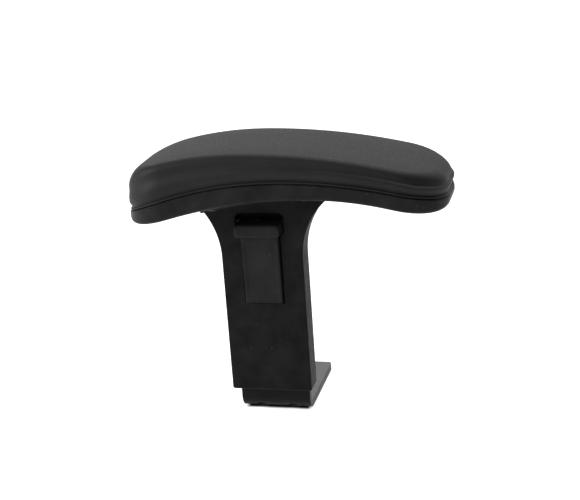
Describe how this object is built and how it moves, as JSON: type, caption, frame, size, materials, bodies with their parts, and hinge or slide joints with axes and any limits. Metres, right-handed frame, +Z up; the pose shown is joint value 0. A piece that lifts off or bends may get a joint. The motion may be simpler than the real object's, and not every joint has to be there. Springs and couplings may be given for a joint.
{
  "type": "height-adjustable chair armrest",
  "caption": "Armrest with an arched soft pad on a flared plastic sleeve that slides on a steel upright with a slotted foot; a lever on the outer face releases the height lock.",
  "frame": {"origin": "midway between the two mounting slots, on the top face of the steel foot", "axes": "+X along the pad, +Y from the armrest's outer face towards the seat, +Z up, out of the foot's top face"},
  "size_m": [0.2412, 0.1255, 0.217],
  "materials": {
    "black_powder_coated_steel": "satin",
    "zinc_plated_steel": "satin",
    "spring_steel": "satin",
    "hardened_steel": "polished",
    "black_oxide_steel": "satin",
    "black_textured_plastic": "matte",
    "black_base_plastic": "satin",
    "black_lever_plastic": "satin",
    "white_acetal": "satin",
    "plywood": "matte",
    "brass": "satin",
    "black_urethane_skin": "satin"
  },
  "bodies": {
    "bracket": {"steel_bracket": "black_powder_coated_steel", "bar_stop_rivets": "zinc_plated_steel"},
    "sleeve": {"sleeve_shell": "black_textured_plastic", "sleeve_back_cover": "black_textured_plastic", "back_cover_screws": "zinc_plated_steel", "left_glide": "white_acetal", "right_glide": "white_acetal", "lower_front_glide": "white_acetal", "upper_front_glide": "white_acetal", "lock_guide_plate": "zinc_plated_steel", "guide_plate_screws": "zinc_plated_steel", "lever_springs": "spring_steel", "pad_base_shell": "black_base_plastic", "base_shell_screws": "zinc_plated_steel", "pad_core_board": "plywood", "pad_t_nuts": "brass", "pad_cushion": "black_urethane_skin", "arm_bolts": "black_oxide_steel", "arm_bolt_washers": "zinc_plated_steel"},
    "lever": {"release_lever": "black_lever_plastic"},
    "lock": {"lock_block": "spring_steel", "lock_pin": "hardened_steel", "lock_cross_pin": "hardened_steel"}
  },
  "joints": [
    {"name": "height_slide", "type": "slide", "parent": "bracket", "child": "sleeve", "axis": [0, 0, 1], "range_m": [0, 0.063]},
    {"name": "lever_slide", "type": "slide", "parent": "sleeve", "child": "lever", "axis": [0, 0, 1], "range_m": [0, 0.005], "stiffness_N_per_m": 600, "springref_m": -0.004, "deforming": ["lever_springs"]},
    {"name": "lock_slide", "type": "slide", "parent": "sleeve", "child": "lock", "axis": [0, -1, 0], "range_m": [0, 0.0042]}
  ],
  "couplings": [
    {"joint": "lock_slide", "follows": "lever_slide", "ratio": 0.84}
  ]
}
